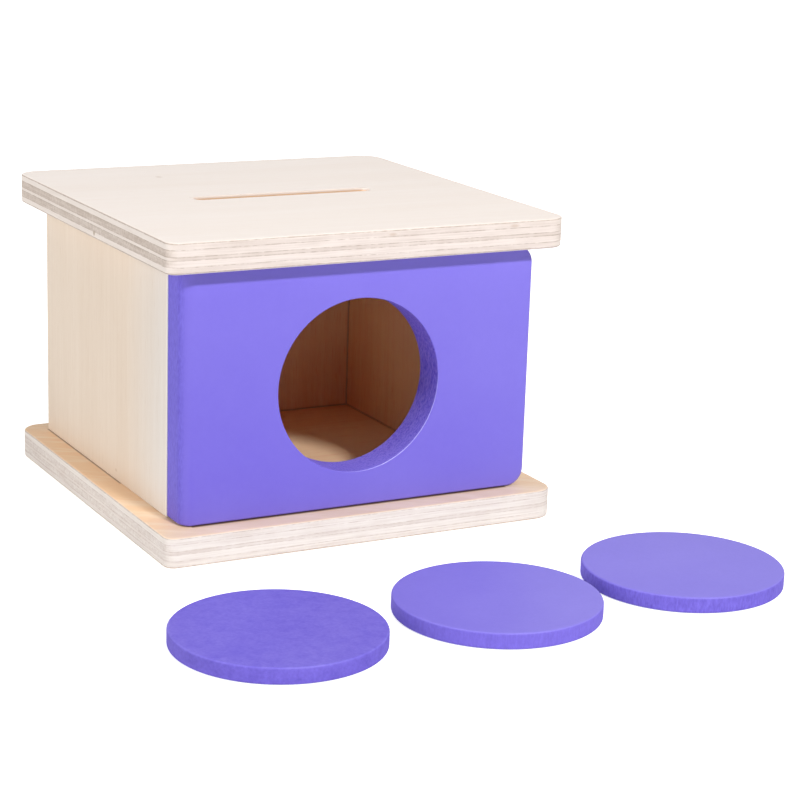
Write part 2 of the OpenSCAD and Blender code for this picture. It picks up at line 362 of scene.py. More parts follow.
def build_plywood(grain, plies):
    """Plywood all over: veneer with grain on the faces, layers on the edges, and painted warm shade within
    the case.

    Place and Facing are given along the face grain, across it, and through the thickness.
    """
    inputs = {
        "Place": "Vector", "Facing": "Vector", "Low": "Float", "Thickness": "Float",
        "Face Light": "Color", "Face Dark": "Color", "Edge Light": "Color", "Edge Dark": "Color",
        "Inside": "Float", "Nook Shade": "Float", "Joint Shade": "Float", "Lip": "Float",
        "Inside Light": "Color", "Inside Dark": "Color",
        "End Drop": "Float", "Glue Drop": "Float", "Long Share": "Float",
    }
    outputs = {"Colour": "Color", "Height": "Float", "Roughness": "Float"}
    tree, start, end = new_group("Plywood", inputs, outputs)
    facing = add_node(tree, "ShaderNodeSeparateXYZ", {"Vector": start["Facing"]}).outputs
    place = add_node(tree, "ShaderNodeSeparateXYZ", {"Vector": start["Place"]}).outputs
    edge = ramp_value(tree, maths(tree, "ABSOLUTE", facing["Z"]), FACE_LEAN, EDGE_LEAN)
    edge = maths(tree, "MULTIPLY", edge, rest_of(tree, start["Lip"]))

    # Veneer of the faces
    veneer = place_group(tree, grain, {"Place": start["Place"]})
    face_tone = total(
        tree, FACE_TONE,
        *[spread(tree, veneer[key], share) for key, share in FACE_SHARES.items()],
        maths(tree, "MULTIPLY", veneer["Pores"], -PORE_DROP),
    )
    outer = blend(tree, face_tone, start["Face Dark"], start["Face Light"])
    # Within the case the veneer takes painted warm shade tones, darker in the painted shade of the nook and
    # along the corner joints, which are dark joint lines with painted shade.
    inner_tone = total(
        tree, face_tone, INSIDE_SHADE_LIFT,
        maths(tree, "MULTIPLY", start["Nook Shade"], -NOOK_SHADE_DROP),
    )
    inner = blend(tree, inner_tone, start["Inside Dark"], start["Inside Light"])
    inner = blend(tree, maths(tree, "MULTIPLY", start["Joint Shade"], JOINT_SHADE_DARK), inner, JOINT_SHADE_TONE)
    face = blend(tree, start["Inside"], outer, inner)

    # Layers of the edges, a little wavy
    wave = noise(tree, start["Place"], WAVE_RATES).outputs["Fac"]
    depth = maths(tree, "SUBTRACT", place["Z"], start["Low"])
    depth = maths(tree, "DIVIDE", depth, start["Thickness"])
    depth = maths(tree, "ADD", depth, spread(tree, wave, WAVE_SHARE))
    layers = place_group(tree, plies, {"Depth": depth})

    # End grain: of the straight layers on the end sides, and a little of the cross layers on the long sides
    along = maths(tree, "MULTIPLY", facing["X"], facing["X"])
    across = maths(tree, "MULTIPLY", facing["Y"], facing["Y"])
    both = maths(tree, "MAXIMUM", maths(tree, "ADD", along, across), 0.001)
    end_share = maths(tree, "DIVIDE", along, both)
    straight_ends = maths(tree, "MULTIPLY", end_share, rest_of(tree, layers["Cross"]))
    cross_ends = maths(tree, "MULTIPLY", rest_of(tree, end_share), layers["Cross"])
    end_grain = maths(tree, "MULTIPLY_ADD", cross_ends, SIDE_END_SHARE, straight_ends)

    # Tone of the edges, with broken glue lines
    threads = noise(tree, start["Place"], THREAD_RATES, detail=3.0).outputs["Fac"]
    pricks = noise(tree, start["Place"], PRICK_RATES).outputs["Fac"]
    blotches = noise(tree, start["Place"], BLOTCH_RATES).outputs["Fac"]
    breaks = noise(tree, start["Place"], BREAK_RATES).outputs["Fac"]
    glue = maths(tree, "MULTIPLY", layers["Glue"], ramp_value(tree, breaks, *BREAK_RANGE))
    end_drop = maths(tree, "MULTIPLY", end_grain, start["End Drop"])
    glue_drop = maths(tree, "MULTIPLY", glue, start["Glue Drop"])
    edge_tone = total(
        tree, layers["Tone"],
        spread(tree, threads, THREAD_SHARE),
        spread(tree, blotches, BLOTCH_SHARE),
        maths(tree, "MULTIPLY", spread(tree, pricks, PRICK_SHARE), end_grain),
    )
    edge_tone = maths(tree, "SUBTRACT", edge_tone, maths(tree, "ADD", end_drop, glue_drop))
    outer_rim = blend(tree, edge_tone, start["Edge Dark"], start["Edge Light"])
    long_grain = maths(tree, "MULTIPLY", end_share, layers["Cross"])
    long_grain = maths(tree, "MULTIPLY", long_grain, start["Long Share"])
    long_grain = maths(tree, "MULTIPLY", long_grain, rest_of(tree, glue))
    outer_rim = blend(tree, long_grain, outer_rim, LONG_GRAIN_TONE)
    # Within the case the edges take the painted warm shade tones too.
    inner_rim = blend(tree, edge_tone, start["Inside Dark"], start["Inside Light"])
    rim = blend(tree, start["Inside"], outer_rim, inner_rim)
    tree.links.new(blend(tree, edge, face, rim), end["Colour"])

    # Relief and roughness
    face_height = total(
        tree,
        spread(tree, veneer["Fibres"], FIBRE_HEIGHT),
        spread(tree, veneer["Streaks"], STREAK_HEIGHT),
        maths(tree, "MULTIPLY", veneer["Pores"], -PORE_DEPTH),
    )
    edge_height = total(
        tree,
        spread(tree, pricks, PRICK_SHARE),
        maths(tree, "MULTIPLY", layers["Glue"], -GLUE_DEPTH),
        maths(tree, "MULTIPLY", end_grain, -END_GRAIN_DEPTH),
    )
    height = add_node(tree, "ShaderNodeMix", data_type="FLOAT")
    feed(tree, height.inputs[0], edge)
    feed(tree, height.inputs[2], face_height)
    feed(tree, height.inputs[3], edge_height)
    tree.links.new(height.outputs[0], end["Height"])
    rough = total(
        tree, WOOD_ROUGH,
        spread(tree, veneer["Streaks"], WOOD_ROUGH_SHARE),
        maths(tree, "MULTIPLY", edge, EDGE_ROUGH),
    )
    tree.links.new(rough, end["Roughness"])
    return tree


# Paint: rates of its clouds, patches, peel and pebbles per metre, and the share of each
CLOUD_RATES = (38.0, 38.0, 38.0)
CLOUD_SHARE = 0.30
PATCH_RATES = (260.0, 260.0, 260.0)
PATCH_SHARE = 0.16
PEEL_RATES = (900.0, 900.0, 900.0)
PEEL_SHARE = 0.14
PEEL_HEIGHT = 0.35
PEBBLE_RATES = (1300.0, 1300.0, 450.0)
PEBBLE_SHARE = 1.6
PEBBLE_HEIGHT = 2.2
PATCH_ROUGH_SHARE = 0.10
CUT_ROUGH = 0.20


def build_paint():
    """Satin paint over wood: cloudy tone, orange peel on the faces, pebbles on the cut edges."""
    inputs = {"Place": "Vector", "Cut": "Float", "Mottle": "Float", "Pebble": "Float", "Satin": "Float"}
    outputs = {"Tone": "Float", "Height": "Float", "Roughness": "Float"}
    tree, start, end = new_group("Satin paint", inputs, outputs)
    cloud = noise(tree, start["Place"], CLOUD_RATES, detail=3.0).outputs["Fac"]
    patch = noise(tree, start["Place"], PATCH_RATES, detail=3.0).outputs["Fac"]
    peel = noise(tree, start["Place"], PEEL_RATES).outputs["Fac"]
    pebble = noise(tree, start["Place"], PEBBLE_RATES, detail=3.0, rough=0.6).outputs["Fac"]
    cut_pebble = maths(tree, "MULTIPLY", spread(tree, pebble, PEBBLE_SHARE), start["Cut"])
    cut_pebble = maths(tree, "MULTIPLY", cut_pebble, start["Pebble"])
    mottle = maths(tree, "ADD", spread(tree, patch, PATCH_SHARE), spread(tree, peel, PEEL_SHARE))
    tone = total(
        tree,
        spread(tree, cloud, CLOUD_SHARE),
        maths(tree, "MULTIPLY", mottle, start["Mottle"]),
        cut_pebble,
    )
    height = total(
        tree,
        spread(tree, peel, PEEL_HEIGHT),
        maths(tree, "MULTIPLY", cut_pebble, PEBBLE_HEIGHT),
    )
    rough = total(
        tree, start["Satin"],
        spread(tree, patch, PATCH_ROUGH_SHARE),
        maths(tree, "MULTIPLY", start["Cut"], CUT_ROUGH),
    )
    tree.links.new(tone, end["Tone"])
    tree.links.new(height, end["Height"])
    tree.links.new(rough, end["Roughness"])
    return tree


# Space within the case and the slot where the wood takes painted warm shade, the reach of that mask, and
# the painted shade of its nook and corner joints
INSIDE_LOW = (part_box("left_wall")[1].x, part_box("left_wall")[0].y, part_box("base_board")[1].z)
INSIDE_HIGH = (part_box("right_wall")[0].x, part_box("back_wall")[0].y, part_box("top_board")[0].z)
SLOT_LOW = (-SLOT_LENGTH / 2.0, -SLOT_WIDTH / 2.0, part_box("top_board")[0].z)
SLOT_HIGH = (SLOT_LENGTH / 2.0, SLOT_WIDTH / 2.0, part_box("top_board")[1].z - SLOT_PALE)
LIP_LOW = (SLOT_LOW[0], SLOT_LOW[1], SLOT_HIGH[2])
LIP_HIGH = (SLOT_HIGH[0], SLOT_HIGH[1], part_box("top_board")[1].z)
INSIDE_SKIN = 0.1 * MM
INSIDE_SHADE_LIFT = 0.40
# Painted shade that darkens the wood toward the back-bottom corner inside the case.
NOOK_SHADE_REACH = 55.0 * MM
NOOK_SHADE_DROP = 0.75
# Dark joint lines with painted shade along the inside corners: reach, core, strength and tone.
JOINT_SHADE_REACH = 0.9 * MM
JOINT_SHADE_CORE = 0.3 * MM
JOINT_SHADE_DARK = 0.32
JOINT_SHADE_TONE = (0.10, 0.035, 0.012, 1.0)

GRAIN = build_grain()
INSIDE = build_inside()
PLIES = build_plies()
PLYWOOD = build_plywood(GRAIN, PLIES)
PAINT = build_paint()


def new_material(name):
    """An empty material with its shader, and the object's place and facing."""
    material = bpy.data.materials.new(name)
    material.use_nodes = True
    tree = material.node_tree
    shader = tree.nodes["Principled BSDF"]
    coordinates = tree.nodes.new("ShaderNodeTexCoord")
    return material, tree, shader, coordinates.outputs["Object"], coordinates.outputs["Normal"]


def link_surface(tree, shader, colour, rough, height, bump):
    """Link colour and roughness, and turn a height into the normal by a distance and strength."""
    distance, strength = bump
    values = {"Height": height, "Distance": distance, "Strength": strength}
    relief = add_node(tree, "ShaderNodeBump", values)
    tree.links.new(colour, shader.inputs["Base Color"])
    tree.links.new(rough, shader.inputs["Roughness"])
    tree.links.new(relief.outputs["Normal"], shader.inputs["Normal"])


def turned(tree, vector, order):
    """A vector with its axes put in another order."""
    parts = add_node(tree, "ShaderNodeSeparateXYZ", {"Vector": vector}).outputs
    values = {"X": parts[order[0]], "Y": parts[order[1]], "Z": parts[order[2]]}
    return add_node(tree, "ShaderNodeCombineXYZ", values).outputs["Vector"]


# Share of a spot's reach that it fills fully, and how far a box's sides fade, in millimetres
SPOT_CORE = 0.35
BOX_FADE = 0.3


def spot(tree, place, centre, reach, strength):
    """A soft mark around a point that fades out at its reach along each axis, both in millimetres."""
    offset = vectors(tree, "SUBTRACT", place, Vector(centre) * MM)
    far = vectors(tree, "LENGTH", vectors(tree, "DIVIDE", offset, Vector(reach) * MM))
    return maths(tree, "MULTIPLY", ramp_value(tree, far, 1.0, SPOT_CORE), strength)


def soft_box(tree, place, low, high, strength):
    """A mark within a box that fades out at its sides, with its corners in millimetres."""
    parts = add_node(tree, "ShaderNodeSeparateXYZ", {"Vector": place}).outputs
    mask = strength
    for axis in range(3):
        rise = ramp_value(tree, parts[axis], (low[axis] - BOX_FADE) * MM, (low[axis] + BOX_FADE) * MM)
        fall = ramp_value(tree, parts[axis], (high[axis] + BOX_FADE) * MM, (high[axis] - BOX_FADE) * MM)
        mask = maths(tree, "MULTIPLY", mask, maths(tree, "MULTIPLY", rise, fall))
    return mask


# Tones of the wood, and how strongly end grain, glue lines and long grain show on its edges
# Painted warm shade within the case: tones that stand for its dim light bounced between the wood.
INSIDE_SHADE_TONES = {
    "Inside Light": (1.0, 0.715, 0.455, 1.0),
    "Inside Dark": (0.88, 0.415, 0.205, 1.0),
}
# The top board's face tones are paler than the walls', partly a painted washed-out light on its brightly
# lit top.
BOARD_TONES = {
    "Face Light": (0.965, 0.885, 0.830, 1.0),
    "Face Dark": (0.905, 0.795, 0.715, 1.0),
    "Edge Light": (0.790, 0.700, 0.632, 1.0),
    "Edge Dark": (0.42, 0.325, 0.260, 1.0),
    "End Drop": 0.40,
    "Glue Drop": 0.90,
    "Long Share": 0.42,
}
# The base's orange face tones are painted warm light bounced from the walls onto its strips.
BASE_TONES = {
    "Face Light": (0.960, 0.690, 0.445, 1.0),
    "Face Dark": (0.890, 0.570, 0.335, 1.0),
    "Edge Light": (0.83, 0.770, 0.715, 1.0),
    "Edge Dark": (0.50, 0.385, 0.330, 1.0),
    "End Drop": 0.20,
    "Glue Drop": 0.65,
    "Long Share": 0.10,
}
# Paler face tones toward the base's front, where its strip is lit.
BASE_FRONT_TONES = {
    "Face Light": (0.950, 0.735, 0.520, 1.0),
    "Face Dark": (0.855, 0.630, 0.430, 1.0),
}
BASE_FRONT_DEPTHS = (-71.0 * MM, -80.0 * MM)
BASE_FLAME = (0.98, 0.78, 0.58, 1.0)
FLAME_TURN = math.radians(35.0)
FLAME_RATES = (30.0, 260.0, 30.0)
FLAME_RANGE = (0.48, 0.62)
FLAME_SHARE = 0.55
WALL_TONES = {
    "Face Light": (0.835, 0.715, 0.595, 1.0),
    "Face Dark": (0.735, 0.590, 0.455, 1.0),
    "Edge Light": (0.83, 0.725, 0.62, 1.0),
    "Edge Dark": (0.55, 0.44, 0.35, 1.0),
    "End Drop": 0.55,
    "Glue Drop": 0.42,
    "Long Share": 0.30,
}
WALL_FRONT_TONES = {
    "Face Light": (0.810, 0.750, 0.690, 1.0),
    "Face Dark": (0.710, 0.620, 0.530, 1.0),
}
WALL_FRONT_DEPTHS = (-18.0 * MM, -52.0 * MM)
WOOD_RELIEF = (0.06 * MM, 0.5)

# Marks of the wood: centre and reach in millimetres, strength and tone
KNOT_TONE = (0.46, 0.30, 0.18, 1.0)
TICK_TONE = (0.40, 0.30, 0.21, 1.0)
TOP_MARKS = (
    ((-86.0, -9.0, 115.2), (2.0, 1.2, 1.3), 0.9, TICK_TONE),
    ((6.0, -86.0, 123.0), (2.2, 2.0, 0.7), 0.35, KNOT_TONE),
    ((60.3, -86.0, 123.2), (2.6, 2.0, 0.8), 0.35, KNOT_TONE),
    ((-33.0, 54.4, 125.0), (1.8, 2.4, 2.0), 0.30, KNOT_TONE),
)
WALL_MARKS = (
    ((-76.0, -6.6, 16.2), (1.0, 1.5, 0.9), 0.35, KNOT_TONE),
)

# Bands of painted shade and highlight: lowest and highest corner in millimetres, strength and tone
EDGE_HIGHLIGHT_TONE = (0.95, 0.89, 0.83, 1.0)
CONTACT_SHADOW_TONE = (0.16, 0.065, 0.06, 1.0)
SLOT_SHADE_TONE = (0.44, 0.28, 0.16, 1.0)
SLOT_LIP_SHADE_TONE = (0.66, 0.55, 0.46, 1.0)
# Painted shade on the slot's far wall and its lip.
TOP_SHADE_BANDS = (
    ((-40.5, 3.0, 112.5), (40.5, 4.0, 124.2), 0.6, SLOT_SHADE_TONE),
    ((-40.5, 3.0, 124.2), (40.5, 3.9, 126.0), 0.45, SLOT_LIP_SHADE_TONE),
)
# A painted highlight along the left wall's eased front edge.
WALL_HIGHLIGHT_BANDS = (
    ((-77.0, -61.0, 12.0), (-75.0, -59.8, 113.0), 0.9, EDGE_HIGHLIGHT_TONE),
)
# Painted shadow lines on the base at the foot of the door and of the left wall.
BASE_SHADOW_BANDS = (
    ((-71.5, -75.8, 11.0), (68.0, -74.0, 13.0), 0.8, CONTACT_SHADOW_TONE),
    ((-76.5, -12.0, 11.0), (-75.6, 76.0, 13.0), 0.6, CONTACT_SHADOW_TONE),
)


def plywood_material(name, order, low, thickness, tones, front=None, flame=None, marks=(), bands=()):
    """Plywood whose face grain, cross grain and thickness lie along the axes in order.

    Front holds other face tones and the depths between which they take over.
    Flame is the tone of a slanted figure.
    """
    material, tree, shader, place, facing = new_material(name)
    values = dict(tones)
    values.update(INSIDE_SHADE_TONES)
    if front:
        front_tones, depths = front
        parts = add_node(tree, "ShaderNodeSeparateXYZ", {"Vector": place}).outputs
        ahead = ramp_value(tree, parts["Y"], *depths)
        for key, tone in front_tones.items():
            values[key] = blend(tree, ahead, tones[key], tone)
    if flame:
        turn = (0.0, 0.0, FLAME_TURN)
        slanted = add_node(tree, "ShaderNodeMapping", {"Vector": place, "Rotation": turn}).outputs["Vector"]
        licks = ramp_value(tree, noise(tree, slanted, FLAME_RATES).outputs["Fac"], *FLAME_RANGE)
        for key in ("Face Light", "Face Dark"):
            values[key] = blend(tree, maths(tree, "MULTIPLY", licks, FLAME_SHARE), values[key], flame)
    inside = place_group(tree, INSIDE, {"Place": place})
    values["Inside"] = inside["Mask"]
    for key in ("Nook Shade", "Joint Shade", "Lip"):
        values[key] = inside[key]
    values["Place"] = turned(tree, place, order)
    values["Facing"] = turned(tree, facing, order)
    values["Low"] = low
    values["Thickness"] = thickness
    skin = place_group(tree, PLYWOOD, values)
    colour = skin["Colour"]
    for centre, reach, strength, tone in marks:
        colour = blend(tree, spot(tree, place, centre, reach, strength), colour, tone)
    # Bands lay painted shade and painted highlight over the wood.
    for band_low, band_high, strength, tone in bands:
        colour = blend(tree, soft_box(tree, place, band_low, band_high, strength), colour, tone)
    link_surface(tree, shader, colour, skin["Roughness"], skin["Height"], WOOD_RELIEF)
    return material


# Finish of the door and discs: roughness, purples, rise of tone per metre as a painted sheen, shares of
# mottle and pebbles
DOOR_FINISH = {
    "satin": 0.33,
    "purples": ((0.155, 0.113, 0.615, 1.0), (0.220, 0.178, 0.700, 1.0)),
    "rise": (2.4, 0.0, 1.5),
    "tone": 0.42,
    "cut_purples": ((0.088, 0.054, 0.500, 1.0), (0.178, 0.138, 0.710, 1.0)),
    "cut_tone": 0.6,
    "mottle": 1.0,
    "pebble": 1.0,
}
DISC_FINISH = {
    "satin": 0.50,
    "purples": ((0.124, 0.086, 0.580, 1.0), (0.250, 0.208, 0.720, 1.0)),
    "rise": (0.8, 0.0, 0.0),
    "cut_purples": ((0.075, 0.046, 0.400, 1.0), (0.186, 0.138, 0.660, 1.0)),
}
# Each disc's own tones; the face tone is partly a painted sheen and the cut tone partly painted shade on
# its rim.
DISC_TONES_AND_SHEEN = {
    "left": {"tone": 0.5, "cut_tone": 0.58, "mottle": 4.5, "pebble": 0.15},
    "middle": {"tone": 0.78, "cut_tone": 0.82, "mottle": 1.5, "pebble": 0.5},
    "right": {"tone": 0.72, "cut_tone": 0.72, "mottle": 1.5, "pebble": 0.9},
}
CUT_LEAN = (0.80, 0.35)
PAINT_RELIEF = (0.05 * MM, 0.6)

# Wall of the finger hole, with painted light where it looks up, and a painted highlight on its lower right
# rim
HOLE_PURPLES = ((0.120, 0.080, 0.800, 1.0), (0.320, 0.260, 1.0, 1.0))
HOLE_TONE = 0.6
HOLE_TOP_LIGHT_LIFT = 0.16
HOLE_SPREAD = 1.9
RIM_HIGHLIGHT_TONE = (0.80, 0.78, 1.0, 1.0)
RIM_HIGHLIGHT_FACING = (-0.7, 0.0, 0.7)
RIM_HIGHLIGHT_RANGE = (0.35, 0.9)


def paint_material(name, face_axis, finish, hole=None):
    """Purple satin paint on a piece whose faces look along one axis; its other sides are cut edges."""
    material, tree, shader, place, facing = new_material(name)
    parts = add_node(tree, "ShaderNodeSeparateXYZ", {"Vector": facing}).outputs
    cut = ramp_value(tree, maths(tree, "ABSOLUTE", parts[face_axis]), *CUT_LEAN)
    values = {
        "Place": place, "Cut": cut,
        "Mottle": finish["mottle"], "Pebble": finish["pebble"], "Satin": finish["satin"],
    }
    skin = place_group(tree, PAINT, values)
    # Painted sheen: the face tone rises along the rise, lighter toward the upper right on the door and
    # toward the right on the discs.
    sheen_risen = vectors(tree, "DOT_PRODUCT", place, finish["rise"])
    face_colour = blend(tree, total(tree, skin["Tone"], finish["tone"], sheen_risen), *finish["purples"])
    cut_colour = blend(tree, maths(tree, "ADD", skin["Tone"], finish["cut_tone"]), *finish["cut_purples"])
    colour = blend(tree, cut, face_colour, cut_colour)
    if hole is not None:
        out = vectors(tree, "MULTIPLY", vectors(tree, "SUBTRACT", place, hole), (1.0, 0.0, 1.0))
        within = maths(tree, "LESS_THAN", vectors(tree, "LENGTH", out), HOLE_RADIUS + HOLE_EASE)
        # Painted light: the hole wall is lighter where it faces up.
        upward = maths(tree, "MAXIMUM", parts["Z"], 0.0)
        tone_with_top_light = maths(tree, "MULTIPLY_ADD", upward, HOLE_TOP_LIGHT_LIFT, HOLE_TONE)
        hole_tone = maths(tree, "MULTIPLY_ADD", skin["Tone"], HOLE_SPREAD, tone_with_top_light)
        hole_colour = blend(tree, hole_tone, *HOLE_PURPLES)
        colour = blend(tree, maths(tree, "MULTIPLY", within, cut), colour, hole_colour)
        # Painted highlight on the rim of the hole where it faces up and to the left.
        rim = maths(tree, "MULTIPLY", within, rest_of(tree, cut))
        rim_highlight = ramp_value(tree, vectors(tree, "DOT_PRODUCT", facing, RIM_HIGHLIGHT_FACING), *RIM_HIGHLIGHT_RANGE)
        colour = blend(tree, maths(tree, "MULTIPLY", rim, rim_highlight), colour, RIM_HIGHLIGHT_TONE)
    link_surface(tree, shader, colour, skin["Roughness"], skin["Height"], PAINT_RELIEF)
    return material


# Steel of the pins and beech of the dowels: tones, roughness and relief
STEEL_TONES = ((0.42, 0.43, 0.44, 1.0), (0.66, 0.67, 0.68, 1.0))
STEEL_RATES = (6000.0, 6000.0, 150.0)
STEEL_ROUGH = 0.30
STEEL_ROUGH_SHARE = 0.2
STEEL_RELIEF = (0.02 * MM, 0.4)
BEECH_TONES = ((0.50, 0.33, 0.19, 1.0), (0.72, 0.53, 0.34, 1.0))
BEECH_TONE = 0.5
BEECH_SHARES = {"Streaks": 1.2, "Fibres": 0.8}
BEECH_PORE_DROP = 0.6
BEECH_ROUGH = 0.62
BEECH_ROUGH_SHARE = 0.15
BEECH_RELIEF = (0.05 * MM, 0.5)


def steel_material():
    """Drawn steel wire with fine lines along it."""
    material, tree, shader, place, _ = new_material("Pin steel")
    lines = noise(tree, place, STEEL_RATES).outputs["Fac"]
    rough = total(tree, STEEL_ROUGH, spread(tree, lines, STEEL_ROUGH_SHARE))
    shader.inputs["Metallic"].default_value = 1.0
    link_surface(tree, shader, blend(tree, lines, *STEEL_TONES), rough, lines, STEEL_RELIEF)
    return material


def beech_material():
    """Bare beech rod with grain along it."""
    material, tree, shader, place, _ = new_material("Dowel beech")
    veneer = place_group(tree, GRAIN, {"Place": turned(tree, place, (2, 1, 0))})
    tone = total(
        tree, BEECH_TONE,
        *[spread(tree, veneer[key], share) for key, share in BEECH_SHARES.items()],
        maths(tree, "MULTIPLY", veneer["Pores"], -BEECH_PORE_DROP),
    )
    rough = total(tree, BEECH_ROUGH, spread(tree, veneer["Streaks"], BEECH_ROUGH_SHARE))
    link_surface(tree, shader, blend(tree, tone, *BEECH_TONES), rough, veneer["Fibres"], BEECH_RELIEF)
    return material


def show(bm, name, material, body, node):
    """Make a finished piece that rides on a body and stands for a CAD node."""
    bmesh.ops.remove_doubles(bm, verts=bm.verts, dist=MERGE)
    bmesh.ops.recalc_face_normals(bm, faces=bm.faces)
    mesh = bpy.data.meshes.new(name)
    bm.to_mesh(mesh)
    bm.free()
    piece = bpy.data.objects.new(name, mesh)
    bpy.context.scene.collection.objects.link(piece)
    mesh.materials.append(material)
    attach(piece, body)
    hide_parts(node)
    return piece


def bore(piece, rods):
    """Cut upright round holes; each rod is x, y, lowest z, highest z and radius."""
    bm = bmesh.new()
    for x, y, low, high, radius in rods:
        middle = Matrix.Translation((x, y, (low + high) / 2.0))
        bmesh.ops.create_cone(
            bm, cap_ends=True, segments=BORE_STEPS, radius1=radius, radius2=radius, depth=high - low,
            matrix=middle,
        )
    mesh = bpy.data.meshes.new("bore_rods")
    bm.to_mesh(mesh)
    bm.free()
    rods_object = bpy.data.objects.new("bore_rods", mesh)
    bpy.context.scene.collection.objects.link(rods_object)
    cut = piece.modifiers.new("Bores", "BOOLEAN")
    cut.operation = "DIFFERENCE"
    cut.solver = "EXACT"
    cut.object = rods_object
    graph = bpy.context.evaluated_depsgraph_get()
    bored = bpy.data.meshes.new_from_object(piece.evaluated_get(graph))
    piece.modifiers.clear()
    plain = piece.data
    bored.name = plain.name + "_bored"
    piece.data = bored
    bpy.data.meshes.remove(plain)
    bpy.data.objects.remove(rods_object)
    bpy.data.meshes.remove(mesh)


def smooth(piece):
    """Shade round edges smoothly and keep flat faces flat."""
    piece.data.shade_smooth()
    piece.data.set_sharp_from_angle(angle=SHARP_ANGLE)
    even = piece.modifiers.new("Even normals", "WEIGHTED_NORMAL")
    even.keep_sharp = True
    even.weight = FLAT_WEIGHT


def block(bm, low, high):
    """A plain block between two corners, to be worked on."""
    middle = Matrix.Translation((low + high) / 2.0)
    size = Matrix.Diagonal((high - low).to_4d())
    size[3][3] = 1.0
    bmesh.ops.create_cube(bm, size=1.0, matrix=middle @ size)


def edges_along(bm, axis):
    """The edges that run along one axis."""
    found = []
    for edge in bm.edges:
        run = (edge.verts[1].co - edge.verts[0].co).normalized()
        if abs(run[axis]) > PARALLEL:
            found.append(edge)
    return found


def round_off(bm, parts, radius, segments, affect="EDGES"):
    """Round edges, or the corners of a flat outline, to a radius."""
    bmesh.ops.bevel(
        bm, geom=parts, offset=radius, offset_type="OFFSET", affect=affect, segments=segments,
        profile=0.5, material=-1,
    )


def loop_of(verts):
    """The edges that join the given verts."""
    kept = set(verts)
    found = dict.fromkeys(edge for vert in verts for edge in vert.link_edges)
    return [edge for edge in found if edge.verts[0] in kept and edge.verts[1] in kept]


def bridge_flat(bm, outer, inner, lift):
    """Fill the flat ring between two loops; the inner one is lifted meanwhile, so that they pair up."""
    verts = list({vert for edge in inner for vert in edge.verts})
    bmesh.ops.translate(bm, vec=lift * MM, verts=verts)
    bmesh.ops.bridge_loops(bm, edges=outer + inner)
    bmesh.ops.translate(bm, vec=-lift * MM, verts=verts)


def in_slot(face, z):
    """Whether every corner of a face lies at a height and within the slot's outline."""
    for vert in face.verts:
        past = (abs(vert.co.x) - SLOT_LENGTH / 2.0, abs(vert.co.y) - SLOT_WIDTH / 2.0, abs(vert.co.z - z))
        if max(past) > MERGE:
            return False
    return True


def slot_loop(bm, z):
    """The outline of the posting slot at a height."""
    size = Matrix.Diagonal((SLOT_LENGTH, SLOT_WIDTH, 1.0, 1.0))
    place = Matrix.Translation((0.0, 0.0, z))
    made = bmesh.ops.create_grid(bm, x_segments=1, y_segments=1, size=0.5, matrix=place @ size)
    round_off(bm, made["verts"], SLOT_WIDTH * SLOT_END_SHARE, SLOT_END_STEPS, affect="VERTICES")
    mouth = [face for face in bm.faces if in_slot(face, z)][0]
    edges = list(mouth.edges)
    bmesh.ops.delete(bm, geom=[mouth], context="FACES_ONLY")
    return edges


def board_shape(low, high, with_slot):
    """A board with rounded corners and eased edges, with the posting slot through it if asked."""
    bm = bmesh.new()
    block(bm, low, high)
    uprights = edges_along(bm, 2)
    front_left = [e for e in uprights if e.verts[0].co.x < 0.0 and e.verts[0].co.y < 0.0]
    others = [e for e in uprights if e not in front_left]
    round_off(bm, others, BOARD_CORNER, BOARD_CORNER_STEPS)
    round_off(bm, front_left, FRONT_LEFT_CORNER, FRONT_LEFT_STEPS)
    flats = [face for face in bm.faces if abs(face.normal.z) > PARALLEL]
    rims = [edge for face in flats for edge in face.edges]
    bmesh.ops.inset_region(bm, faces=flats, thickness=HOLDING, use_even_offset=True)
    if with_slot:
        mouths = []
        for flat in flats:
            z = flat.verts[0].co.z
            outer = list(flat.edges)
            bmesh.ops.delete(bm, geom=[flat], context="FACES_ONLY")
            inner = slot_loop(bm, z)
            bridge_flat(bm, outer, inner, UP)
            mouths += inner
        bmesh.ops.bridge_loops(bm, edges=mouths)
        bmesh.ops.recalc_face_normals(bm, faces=bm.faces)
        round_off(bm, mouths, SLOT_EASE, SMALL_EASE_STEPS)
    round_off(bm, rims, BOARD_EASE, BOARD_EASE_STEPS)
    return bm


def wall_shape(low, high):
    """An upright wall with all its edges eased."""
    bm = bmesh.new()
    block(bm, low, high)
    round_off(bm, list(bm.edges), WALL_EASE, SMALL_EASE_STEPS)
    return bm


def round_fall(radius, depth):
    """How far a rounded edge falls back at a depth below the face."""
    if depth >= radius:
        return 0.0
    return radius - math.sqrt(radius * radius - (radius - depth) * (radius - depth))


def round_depths(*radii):
    """Depths below a face at which the rounds of several radii are cut into even turns."""
    turns = [math.radians(angle) for angle in ROUND_TURNS]
    return sorted({round(radius * (1.0 - math.sin(turn)), 7) for radius in radii for turn in turns})


def carry(bm, edges):
    """Extrude an open loop of edges; gives the new verts and edges."""
    made = bmesh.ops.extrude_edge_only(bm, edges=edges)["geom"]
    verts = [item for item in made if isinstance(item, bmesh.types.BMVert)]
    return verts, loop_of(verts)


def resize(bm, verts, old, new, y):
    """Fit a loop from one frame of left, right, bottom and top to another, at a depth."""
    middle = Vector(((old[0] + old[1]) / 2.0, 0.0, (old[2] + old[3]) / 2.0))
    wide = (new[1] - new[0]) / (old[1] - old[0])
    tall = (new[3] - new[2]) / (old[3] - old[2])
    bmesh.ops.scale(bm, vec=(wide, 1.0, tall), space=Matrix.Translation(-middle), verts=verts)
    shift = Vector(((new[0] + new[1]) / 2.0, y - verts[0].co.y, (new[2] + new[3]) / 2.0)) - middle
    bmesh.ops.translate(bm, vec=shift, verts=verts)


